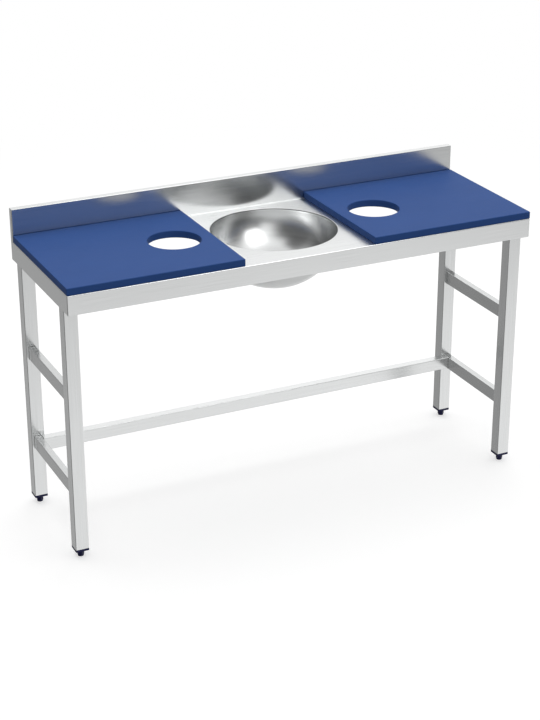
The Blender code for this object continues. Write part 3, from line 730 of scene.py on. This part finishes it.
def run_bead(name, node, axis, end):
    """A thin bead round one end of a CAD tube along X or Y, where it meets the face across it."""
    low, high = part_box(node)
    centre = (low + high) / 2
    centre[axis] = (low, high)[end > 0][axis]
    if axis == ALONG_X:
        size, turn = (high.z - low.z, high.y - low.y), (0, QUARTER_TURN, 0)
    else:
        size, turn = (high.x - low.x, high.z - low.z), (QUARTER_TURN, 0, 0)
    bead = add_plane(name, centre, size, turn)
    open_mesh()
    pick_all()
    bpy.ops.mesh.delete(type="ONLY_FACE")
    pick_all("VERT")
    round_corners(TUBE_CORNER, steps=4)
    close_mesh()
    bpy.ops.object.convert(target="CURVE")
    bead.data.bevel_depth = BEAD_RADIUS
    bead.data.bevel_resolution = 2
    bpy.ops.object.convert(target="MESH")
    bead.data.name = name
    smooth_piece(bead, angle=80)
    return bead


for side in SIDES:
    for level in ("mid", "low"):
        for row, way in ROWS.items():
            bead = run_bead(f"weld_{level}_{row}_{side}", f"rail_{level}_{side}", ALONG_Y, way)
            wear(bead, bead_steel_and_shade, "table")
for side, sign in SIDES.items():
    bead = run_bead(f"weld_bar_{side}", "rear_bar", ALONG_X, sign)
    wear(bead, bead_steel_and_shade, "table")

# Stiffening channels: folded from stainless sheet and welded across under the worktop, open side
# up. The end ones are wider, because the legs bolt to them.
CHANNEL_SHEET = 0.0015
CHANNEL_FOLD = 0.0026
CHANNEL_EASE = 0.0002
CHANNEL_STEEL = (0.62, 0.63, 0.63)
channel_satin = satin_steel("channel_satin", CHANNEL_STEEL, roughness=0.28, run=ALONG_Y)
for side in SIDES:
    for place in ("end", "mid", "inner"):
        low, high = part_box(f"channel_{place}_{side}")
        channel = lay_plate(f"channel_{place}_{side}_folded", low, high, low.z)
        open_mesh()
        for end in (low.x, high.x):
            pick_edges(channel, lambda edge: near(edge_middle(edge).x, end))
            fold_on((0, 0, high.z - low.z))
        pick_edges(channel, lambda edge: len(edge.link_faces) == 2)
        round_edges(CHANNEL_FOLD, steps=5)
        face_out()
        pick_faces(channel, lambda face: face.normal.z > SQUARE_ON)
        turned_in = any(face.select for face in bmesh.from_edit_mesh(channel.data).faces)
        pick_all()
        if turned_in:
            bpy.ops.mesh.flip_normals()
        close_mesh()
        give_wall(channel, CHANNEL_SHEET)
        ease_edges(channel, CHANNEL_EASE, steps=1)
        smooth_piece(channel)
        wear(channel, channel_satin, "table")
        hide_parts(f"channel_{place}_{side}")

# Leg heads: a drilled plate is welded on each leg and drawn up to the end channel by two zinc
# plated hexagon bolts, which screw into nuts welded inside the channel.
BOLT_FLATS = 0.013
BOLT_HEAD = 0.0053
BOLT_RADIUS = 0.004
BOLT_ROOT = 0.002
BOLT_TIP_RADIUS, BOLT_TIP = 0.0032, 0.0008
BOLT_COLLAR_RADIUS, BOLT_COLLAR = 0.0056, 0.0008
BOLT_EASE = 0.0002
BOLT_STEPS = 48
NUT_HEIGHT = 0.0065
NUT_BORE = 0.0043
CHAMFER_START = 0.96
CHAMFER_REACH = 1.03
CHAMFER_ANGLE = math.radians(30)
CHAMFER_SHARE = 0.44
CHAMFER_STEPS = 96
OVERRUN = 0.001
ZINC = (0.60, 0.61, 0.63)
zinc_plate = satin_steel(
    "zinc_plate", ZINC, roughness=0.32, run=ALONG_X, grain=0.10, handling=0.14, relief=0.10
)


def copy_piece(piece, name, shift):
    """A copy of a piece with its own mesh, moved by a shift."""
    pick_piece(piece)
    bpy.ops.object.duplicate(linked=False)
    bpy.context.active_object.location = shift
    return name_piece(name)


def cut_with(piece, tool, operation="DIFFERENCE"):
    """Cuts, joins or crops a piece with a tool body, then throws the tool away."""
    finish_modifier(piece, "BOOLEAN", operation=operation, object=tool, solver="EXACT")
    bpy.data.objects.remove(tool)


def turn_bar(name, rings, steps):
    """A solid piece turned about the upright line through the origin, with both ends capped."""
    piece = turn_piece(name, 0, 0, rings, steps)
    for radius, height in (rings[0], rings[-1]):
        pick_edges(piece, lambda edge: len(edge.link_faces) == 1 and near(edge_middle(edge).z, height))
        bpy.ops.mesh.edge_face_add()
    face_out()
    close_mesh()
    return piece


def bore(piece, radius, low, high, steps=BOLT_STEPS):
    """Drills a piece on the upright line through the origin, between two heights."""
    cut_with(piece, turn_bar("drill", [(radius, low), (radius, high)], steps))


def cut_hexagon(name, low, high, flats, both_ends):
    """A hexagon from bar, chamfered in the lathe at its lower end or at both.

    On a low nut the two chamfers are flatter, so that they stop short of each other.
    """
    corner = flats / math.sqrt(3)
    hexagon = add_circle(name, 0, 0, low, corner, 6, fill="NGON")
    open_mesh()
    pick_all()
    push_on((0, 0, high - low))
    face_out()
    close_mesh()
    start = flats / 2 * CHAMFER_START
    reach = corner * CHAMFER_REACH
    slope = min((reach - start) * math.tan(CHAMFER_ANGLE), (high - low) * CHAMFER_SHARE)
    rings = [(start, low), (reach, low + slope)]
    rings += [(reach, high - slope), (start, high)] if both_ends else [(reach, high + OVERRUN)]
    cut_with(hexagon, turn_bar("chamfer_tool", rings, CHAMFER_STEPS), "INTERSECT")
    return hexagon


# The plates are shown as they are packed, zinc plated like the bolts.
for name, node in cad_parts.items():
    if name.startswith("leg_plate_"):
        node.data.materials.clear()
        node.data.materials.append(zinc_plate)
low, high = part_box("leg_bolt_front_left_front")
bolt_top = high.z
bolt_seat = low.z + BOLT_HEAD
bolt = cut_hexagon("bolt_master", low.z, bolt_seat, BOLT_FLATS, both_ends=False)
collar_rings = [(BOLT_COLLAR_RADIUS, bolt_seat - BOLT_COLLAR), (BOLT_COLLAR_RADIUS, bolt_seat)]
cut_with(bolt, turn_bar("bolt_collar", collar_rings, BOLT_STEPS), "UNION")
shank_rings = [
    (BOLT_RADIUS, bolt_seat - BOLT_ROOT), (BOLT_RADIUS, bolt_top - BOLT_TIP),
    (BOLT_TIP_RADIUS, bolt_top),
]
cut_with(bolt, turn_bar("bolt_shank", shank_rings, BOLT_STEPS), "UNION")
ease_edges(bolt, BOLT_EASE, steps=1)
smooth_piece(bolt, angle=30)
nut_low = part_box("channel_end_left")[0].z + CHANNEL_SHEET
weld_nut = cut_hexagon("weld_nut_master", nut_low, nut_low + NUT_HEIGHT, BOLT_FLATS, both_ends=True)
bore(weld_nut, NUT_BORE, nut_low - OVERRUN, nut_low + NUT_HEIGHT + OVERRUN)
smooth_piece(weld_nut, angle=30)
for side in SIDES:
    for row in ROWS:
        for end in ROWS:
            node = f"leg_bolt_{row}_{side}_{end}"
            shift = middle_at(*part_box(node), 0)
            set_bolt = copy_piece(bolt, f"hex_bolt_{row}_{side}_{end}", shift)
            wear(set_bolt, zinc_plate, "table")
            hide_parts(node)
            set_nut = copy_piece(weld_nut, f"weld_nut_{row}_{side}_{end}", shift)
            wear(set_nut, zinc_plate, "table")
bpy.data.objects.remove(bolt)
bpy.data.objects.remove(weld_nut)

# Outlet: a pressed and chromed flange with a cross in its bore, which a white plastic back nut
# draws down on the bowl's seat, with a black rubber washer under the bowl.
FLANGE_THICKNESS = 0.0016
FLANGE_EASE = 0.0003
TAIL_RADIUS = 0.0225
TAIL_BORE = 0.0205
CROSS_LENGTH = 2 * TAIL_BORE + 0.001
CROSS_WIDTH = 0.0030
CROSS_HEIGHT = 0.0040
CROSS_DROP = 0.0020
WASHER_INSET, WASHER_DROP = 0.0005, 0.0004
BACK_NUT_FLATS = 0.050
BACK_NUT_BORE = 0.0228
BACK_NUT_EASE = 0.0004
OUTLET_STEPS = 96
CHROME = (0.80, 0.81, 0.82)
RUBBER_BLACK = (0.020, 0.020, 0.021)
NUT_WHITE = (0.72, 0.72, 0.70)
low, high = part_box("waste_flange")
rim, tail, face = high.x, low.z, high.z
flange_foot = face - FLANGE_THICKNESS
flange_rings = [
    (TAIL_RADIUS, flange_foot), (rim - 0.0010, flange_foot), (rim - 0.0002, flange_foot + 0.0003),
    (rim, flange_foot + 0.0008), (rim - 0.0004, flange_foot + 0.0013), (rim - 0.0014, face),
    (rim - 0.0050, face - 0.00005), (0.0270, face - 0.0006), (0.0238, face - 0.0013),
    (0.0218, face - 0.0022), (0.0208, face - 0.0034), (TAIL_BORE, face - 0.0050),
    (TAIL_BORE, tail), (TAIL_RADIUS - FLANGE_EASE, tail), (TAIL_RADIUS, tail + FLANGE_EASE),
    (TAIL_RADIUS, flange_foot),
]
flange = turn_piece("outlet_flange", BOWL_X, BOWL_Y, flange_rings, OUTLET_STEPS)
join_rings()
cross_middle = (BOWL_X, BOWL_Y, flange_foot - CROSS_DROP - CROSS_HEIGHT / 2)
for size in ((CROSS_LENGTH, CROSS_WIDTH, CROSS_HEIGHT), (CROSS_WIDTH, CROSS_LENGTH, CROSS_HEIGHT)):
    cut_with(flange, add_block("outlet_bar", cross_middle, size), "UNION")
ease_edges(flange, FLANGE_EASE)
smooth_piece(flange)
chrome = satin_steel(
    "outlet_chrome", CHROME, roughness=0.08, run=ALONG_Z, grain=0.03, handling=0.04, relief=0.02
)
wear(flange, chrome, "table")
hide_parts("waste_flange")

low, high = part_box("waste_washer")
washer_outer, washer_inner = high.x - BOWL_X, TAIL_RADIUS + FIT_GAP
washer_rings = [
    (washer_inner, low.z), (washer_outer - WASHER_INSET, low.z), (washer_outer, low.z + WASHER_DROP),
    (washer_outer, high.z - WASHER_DROP), (washer_outer - WASHER_INSET, high.z),
    (washer_inner, high.z), (washer_inner, low.z),
]
washer = turn_piece("outlet_washer", BOWL_X, BOWL_Y, washer_rings, OUTLET_STEPS)
join_rings()
smooth_piece(washer, angle=50)
washer_rubber = matt_plastic("washer_black_rubber", RUBBER_BLACK, roughness=0.72, specular=0.30)
wear(washer, washer_rubber, "table")
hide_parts("waste_washer")

low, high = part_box("waste_nut")
back_nut = cut_hexagon("outlet_back_nut", low.z, high.z, BACK_NUT_FLATS, both_ends=True)
bore(back_nut, BACK_NUT_BORE, low.z - OVERRUN, high.z + OVERRUN, OUTLET_STEPS)
pick_piece(back_nut)
back_nut.location = (BOWL_X, BOWL_Y, 0)
bpy.ops.object.transform_apply(location=True, rotation=True, scale=True)
ease_edges(back_nut, BACK_NUT_EASE)
smooth_piece(back_nut, angle=30)
nut_plastic = matt_plastic("back_nut_white_plastic", NUT_WHITE, roughness=0.42, specular=0.50)
wear(back_nut, nut_plastic, "table")
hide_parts("waste_nut")

# Feet: a ribbed plug of dark blue polyamide closes each leg and takes an M12 stud, whose hexagon
# is turned by hand or spanner to level the table on a round pad that stays still on the floor.
FOOT_BLUE = (0.010, 0.012, 0.075)
PLUG_FLANGE = 0.0075
PLUG_DEPTH = 0.028
PLUG_EASE = 0.0003
PLUG_RIBS = 3
RIB_HEIGHT = 0.0025
RIB_TAPER = 0.0012
RIB_PROUD = 0.0036
STUD_RADIUS = 0.006
STUD_TIP = 0.0012
STUD_STEPS = 24
THREAD_PITCH = 0.00175
THREAD_DEPTH = 0.00105
THREAD_RINGS = 6
FLANK_SLOPE, CREST_FLAT = 1.4, 0.2
FOOT_FLATS = 0.0185
FOOT_EASE = 0.0004
PIN_BORE = 0.0043
PAD_STEPS = 64
polyamide = matt_plastic("foot_blue_polyamide", FOOT_BLUE, roughness=0.45, specular=0.30, cloud=0.20)

plug_low, plug_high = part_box("leg_insert_front_left")
plug_size = plug_high.x - plug_low.x
plug_seat = plug_low.z + PLUG_FLANGE
rib_pitch = PLUG_DEPTH / PLUG_RIBS
rib_width = plug_size - 2 * (TUBE_WALL + FIT_GAP)
core_width = rib_width - RIB_PROUD
plug_steps = [(core_width, plug_seat)]
for rib in range(1, PLUG_RIBS + 1):
    rib_top = plug_seat + rib_pitch * rib
    plug_steps += [
        (core_width, rib_top - RIB_HEIGHT), (rib_width, rib_top - RIB_HEIGHT),
        (rib_width - RIB_TAPER, rib_top), (core_width, rib_top),
    ]
plug = add_plane("plug_master", (0, 0, plug_low.z), (plug_size, plug_size))
open_mesh()
pick_all("VERT")
round_corners(TUBE_CORNER, steps=5)
pick_all("FACE")
push_on((0, 0, PLUG_FLANGE))
width, height = plug_size, plug_seat
for next_width, next_height in plug_steps[:-1]:
    push_on((0, 0, next_height - height))
    scale = next_width / width
    bpy.ops.transform.resize(value=(scale, scale, 1), center_override=(0, 0, next_height))
    width, height = next_width, next_height
face_out()
close_mesh()
bore(plug, STUD_RADIUS + FIT_GAP, plug_low.z - OVERRUN, plug_high.z + OVERRUN)
ease_edges(plug, PLUG_EASE)
smooth_piece(plug)

hex_low, hex_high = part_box("foot_hex_front_left")
stud_low, stud_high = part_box("foot_stud_front_left")
pad_low, pad_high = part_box("foot_glide_front_left")
foot_hex = cut_hexagon("foot_master", hex_low.z, hex_high.z, FOOT_FLATS, both_ends=True)
bore(foot_hex, STUD_RADIUS + FIT_GAP, stud_low.z - FIT_GAP, hex_high.z + OVERRUN)
bore(foot_hex, PIN_BORE, hex_low.z - OVERRUN, pad_high.z + FIT_GAP)
ease_edges(foot_hex, FOOT_EASE)
smooth_piece(foot_hex, angle=30)

# The pad is moulded in one with the pin that snaps up into the hexagon.
pad_radius = (pad_high.x - pad_low.x) / 2
pad_rings = [
    (pad_radius - 0.0012, 0.0), (pad_radius - 0.0004, 0.0003), (pad_radius, 0.0010),
    (pad_radius, 0.0031), (pad_radius - 0.0003, 0.0037), (pad_radius - 0.0010, 0.0040),
    (0.0045, 0.0040), (0.0041, 0.0042), (0.0040, 0.0046), (0.0040, pad_high.z - 0.0005),
    (0.0035, pad_high.z),
]
pad = turn_bar("pad_master", pad_rings, PAD_STEPS)
smooth_piece(pad, angle=50)

# The stud's thread: the rings of a round bar are drawn in where the groove winds past them.
thread_steps = int((stud_high.z - stud_low.z) / THREAD_PITCH * THREAD_RINGS)
thread_rise = (stud_high.z - stud_low.z) / thread_steps
stud_rings = [(STUD_RADIUS, stud_low.z + thread_rise * step) for step in range(thread_steps + 1)]
stud = turn_bar("stud_master", stud_rings, STUD_STEPS)
for vert in stud.data.vertices:
    turned = (vert.co.z - stud_low.z) / THREAD_PITCH - math.atan2(vert.co.y, vert.co.x) / math.tau
    groove = min(1.0, max(0.0, abs(2 * (turned % 1.0) - 1) * FLANK_SLOPE - CREST_FLAT))
    tip = min(vert.co.z - stud_low.z, stud_high.z - vert.co.z)
    radius = min(STUD_RADIUS - THREAD_DEPTH * groove, STUD_RADIUS - STUD_TIP + tip)
    length = math.hypot(vert.co.x, vert.co.y)
    vert.co.x *= radius / length
    vert.co.y *= radius / length
smooth_piece(stud, angle=60)

for side in SIDES:
    for row in ROWS:
        spot = f"{row}_{side}"
        shift = middle_at(*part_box(f"leg_insert_{spot}"), 0)
        set_plug = copy_piece(plug, f"leg_plug_{spot}", shift)
        wear(set_plug, polyamide, "table")
        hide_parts(f"leg_insert_{spot}")
        set_hex = copy_piece(foot_hex, f"foot_hexagon_{spot}", shift)
        wear(set_hex, polyamide, f"foot_{spot}")
        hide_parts(f"foot_hex_{spot}")
        set_stud = copy_piece(stud, f"foot_screw_{spot}", shift)
        wear(set_stud, zinc_plate, f"foot_{spot}")
        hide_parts(f"foot_stud_{spot}")
        set_pad = copy_piece(pad, f"foot_pad_{spot}", shift)
        wear(set_pad, polyamide, f"glide_{spot}")
        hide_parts(f"foot_glide_{spot}")
for master in (plug, foot_hex, pad, stud):
    bpy.data.objects.remove(master)

# Studio: a pale floor that fades to the white background, a broad soft lamp overhead, and a
# smaller one in front that only adds glints. A round white tent hung with soft grey cards
# stands far outside, unseen by the camera, and gives the steel its dark left and front sides.
FLOOR_SIZE = 60
FLOOR_GLOW = 0.56
FLOOR_CATCH = 0.60
FLOOR_BOUNCE = 0.30
FADE_START, FADE_END = 1.2, 4.0
WHITE = (1, 1, 1, 1)


def add_glow(tree, strength):
    """A white glow."""
    return add_node(tree, "ShaderNodeEmission", {"Color": WHITE, "Strength": strength}).outputs[0]


def add_matt(tree, level):
    """A matt grey."""
    return add_node(tree, "ShaderNodeBsdfDiffuse", {"Color": (level, level, level, 1)}).outputs[0]


def add_blend(tree, share, first, second):
    """One surface that gives way to a second one by its share."""
    return add_node(tree, "ShaderNodeMixShader", {0: share, 1: first, 2: second}).outputs[0]


pick_none()
bpy.ops.mesh.primitive_plane_add(size=FLOOR_SIZE, location=(0, 0, 0))
floor = name_piece("studio_floor")
floor.visible_glossy = False
floor_paint, floor_tree = new_material("studio_floor")
floor_tree.nodes.clear()
ray = add_node(floor_tree, "ShaderNodeLightPath").outputs
ray_direct = add_math(floor_tree, "MAXIMUM", ray["Is Camera Ray"], ray["Is Glossy Ray"])
ray_seen = add_math(floor_tree, "MAXIMUM", ray_direct, ray["Is Transmission Ray"])
floor_near = add_node(floor_tree, "ShaderNodeAddShader", {
    0: add_glow(floor_tree, FLOOR_GLOW), 1: add_matt(floor_tree, FLOOR_CATCH)}).outputs[0]
floor_place = add_node(floor_tree, "ShaderNodeTexCoord").outputs["Object"]
floor_reach = add_node(floor_tree, "ShaderNodeVectorMath", {0: floor_place}, operation="LENGTH")
floor_far = add_ramp(floor_tree, floor_reach.outputs["Value"], FADE_START, FADE_END)
floor_fade = add_blend(floor_tree, floor_far, floor_near, add_glow(floor_tree, 1.0))
floor_above = add_blend(floor_tree, ray_seen, add_matt(floor_tree, FLOOR_BOUNCE), floor_fade)
from_below = add_node(floor_tree, "ShaderNodeNewGeometry").outputs["Backfacing"]
floor_open = add_node(floor_tree, "ShaderNodeBsdfTransparent").outputs[0]
add_node(floor_tree, "ShaderNodeOutputMaterial", {
    "Surface": add_blend(floor_tree, from_below, floor_above, floor_open)})
floor.data.materials.append(floor_paint)

world = bpy.data.worlds.new("studio")
bpy.context.scene.world = world
world.use_nodes = True
world_white = world.node_tree.nodes["Background"]
world_white.inputs["Color"].default_value = WHITE
world_white.inputs["Strength"].default_value = 1.0

# The tent's cards, each hung over the ones before it. A card has the directions in degrees that it
# covers, across from behind towards the right and up from level, then its brightness, and how soft
# its edges are, at its start and its end, across and up.
TENT_RADIUS = 28
TENT_WHITE = 1.12
ALL_ROUND = (-400, 400)
EVEN = (12, 12)
CARDS = (
    ((60, 132), (-4, 40), 0.55, (14, 10), (6, 9)),
    (ALL_ROUND, (68, 130), 0.88, EVEN, (7, 8)),
    (ALL_ROUND, (-110, -15), 0.96, EVEN, (5, 5)),
    (ALL_ROUND, (-20.5, 13), 0.55, EVEN, (5, 8)),
    ((138, 157), (-31, -18), 1.00, (8, 3), (5, 4)),
    (ALL_ROUND, (-110, -38), 0.67, EVEN, (5, 9)),
    ((-150, -5), (-110, 47), 0.31, (22, 35), (8, 16)),
    ((-148, -80), (-110, 44), 0.13, (18, 24), (8, 8)),
    ((-122, -72), (-110, 61), 0.13, (12, 16), (8, 6)),
    ((112, 200), (3, 30), 0.22, EVEN, (6, 5)),
)
pick_none()
bpy.ops.mesh.primitive_uv_sphere_add(
    segments=64, ring_count=32, radius=TENT_RADIUS, location=(0, 0, 0)
)
tent = name_piece("studio_tent")
tent.visible_camera = False
tent_paint, tent_tree = new_material("studio_tent")
tent_tree.nodes.clear()
tent_place = add_node(tent_tree, "ShaderNodeTexCoord").outputs["Object"]
tent_way = add_node(tent_tree, "ShaderNodeVectorMath", {0: tent_place}, operation="NORMALIZE")
tent_split = add_node(tent_tree, "ShaderNodeSeparateXYZ", {0: tent_way.outputs[0]}).outputs
tent_across = add_math(tent_tree, "ARCTAN2", tent_split["X"], tent_split["Y"])
tent_up = add_math(tent_tree, "ARCSINE", tent_split["Z"])


def soft_window(angle, limits, softness):
    """One where an angle lies between two limits in degrees, falling softly to zero outside."""
    starts, ends = (
        (math.radians(limit - soft), math.radians(limit + soft))
        for limit, soft in zip(limits, softness)
    )
    after_start = add_ramp(tent_tree, angle, *starts)
    before_end = add_ramp(tent_tree, angle, *ends, 1.0, 0.0)
    return add_math(tent_tree, "MULTIPLY", after_start, before_end)


surround = TENT_WHITE
for across, up, brightness, soft_across, soft_up in CARDS:
    card = add_math(
        tent_tree, "MULTIPLY",
        soft_window(tent_across, across, soft_across), soft_window(tent_up, up, soft_up),
    )
    surround = add_node(
        tent_tree, "ShaderNodeMix", {"Factor": card, "A": surround, "B": brightness},
        data_type="FLOAT",
    ).outputs["Result"]
tent_glow = add_node(tent_tree, "ShaderNodeEmission", {"Color": surround, "Strength": 1.0})
add_node(tent_tree, "ShaderNodeOutputMaterial", {"Surface": tent_glow.outputs[0]})
tent.data.materials.append(tent_paint)


def hang_softbox(name, size, power, place, aim_height):
    """A rectangular soft lamp, turned to a height on the table's upright middle line."""
    lamp = bpy.data.lights.new(name, "AREA")
    lamp.shape = "RECTANGLE"
    lamp.size, lamp.size_y = size
    lamp.energy = power
    softbox = bpy.data.objects.new(name, lamp)
    softbox.location = place
    aim = Vector((0, 0, aim_height)) - softbox.location
    softbox.rotation_euler = aim.to_track_quat("-Z", "Y").to_euler()
    bpy.context.scene.collection.objects.link(softbox)
    return softbox


overhead = hang_softbox(
    "overhead_softbox", size=(3.6, 2.6), power=34, place=(-0.4, 0.9, 4.4), aim_height=0.7
)
overhead.visible_glossy = False
front = hang_softbox(
    "front_softbox", size=(1.3, 1.5), power=12.5, place=(0.67, -1.85, 2.31), aim_height=0.75
)
front.visible_camera = False
front.visible_diffuse = False

camera = bpy.data.cameras.new("photo_camera")
camera.lens = 87.49
camera.sensor_width = 36.0
camera.clip_end = 100.0
camera_object = bpy.data.objects.new("photo_camera", camera)
camera_object.location = (-2.1545, -4.5118, 2.6209)
camera_object.rotation_euler = (math.radians(66.227), math.radians(0.09), math.radians(-25.396))
bpy.context.scene.collection.objects.link(camera_object)
bpy.context.scene.camera = camera_object
bpy.context.scene.view_settings.view_transform = "Standard"
